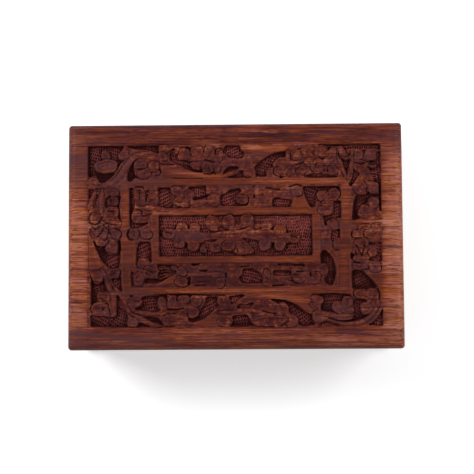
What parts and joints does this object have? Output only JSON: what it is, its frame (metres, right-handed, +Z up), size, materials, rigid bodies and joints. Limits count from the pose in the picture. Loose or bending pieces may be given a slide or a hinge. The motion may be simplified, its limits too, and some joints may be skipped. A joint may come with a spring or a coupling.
{
  "type": "jewellery box",
  "caption": "Carved rosewood jewellery box: a velvet lined wooden carcase with a thick hinged lid, whose top is carved with leaves between raised frames.",
  "frame": {"origin": "middle of the underside, on the surface that the box stands on", "axes": "+Z up; +X to the right of someone who faces the front; +Y towards the back, where the hinges are"},
  "size_m": [0.2, 0.1352, 0.064],
  "materials": {
    "rosewood": "oiled and hand rubbed, satin",
    "velvet": "short pile velvet",
    "baize": "wool baize",
    "brass": "bright, slightly aged",
    "steel": "plain drawn wire"
  },
  "bodies": {
    "box": {"base_board": "rosewood", "base_baize": "baize", "front_wall": "rosewood", "back_wall": "rosewood", "left_wall": "rosewood", "right_wall": "rosewood", "floor_pad": "velvet", "front_lining": "velvet", "back_lining": "velvet", "left_lining": "velvet", "right_lining": "velvet", "base_brad_1": "steel", "base_brad_2": "steel", "base_brad_3": "steel", "base_brad_4": "steel", "base_brad_5": "steel", "base_brad_6": "steel", "left_hinge_wall_leaf": "brass", "left_hinge_pin": "steel", "left_hinge_wall_screw_1": "brass", "left_hinge_wall_screw_2": "brass", "right_hinge_wall_leaf": "brass", "right_hinge_pin": "steel", "right_hinge_wall_screw_1": "brass", "right_hinge_wall_screw_2": "brass"},
    "lid": {"lid_board": "rosewood", "lid_lining": "velvet", "left_hinge_lid_leaf": "brass", "left_hinge_lid_screw_1": "brass", "left_hinge_lid_screw_2": "brass", "right_hinge_lid_leaf": "brass", "right_hinge_lid_screw_1": "brass", "right_hinge_lid_screw_2": "brass"}
  },
  "joints": [
    {"name": "lid_hinge", "type": "hinge", "parent": "box", "child": "lid", "pos_m": [0, 0.06525, 0.0512], "axis": [-1, 0, 0], "range_deg": [0, 105]}
  ]
}
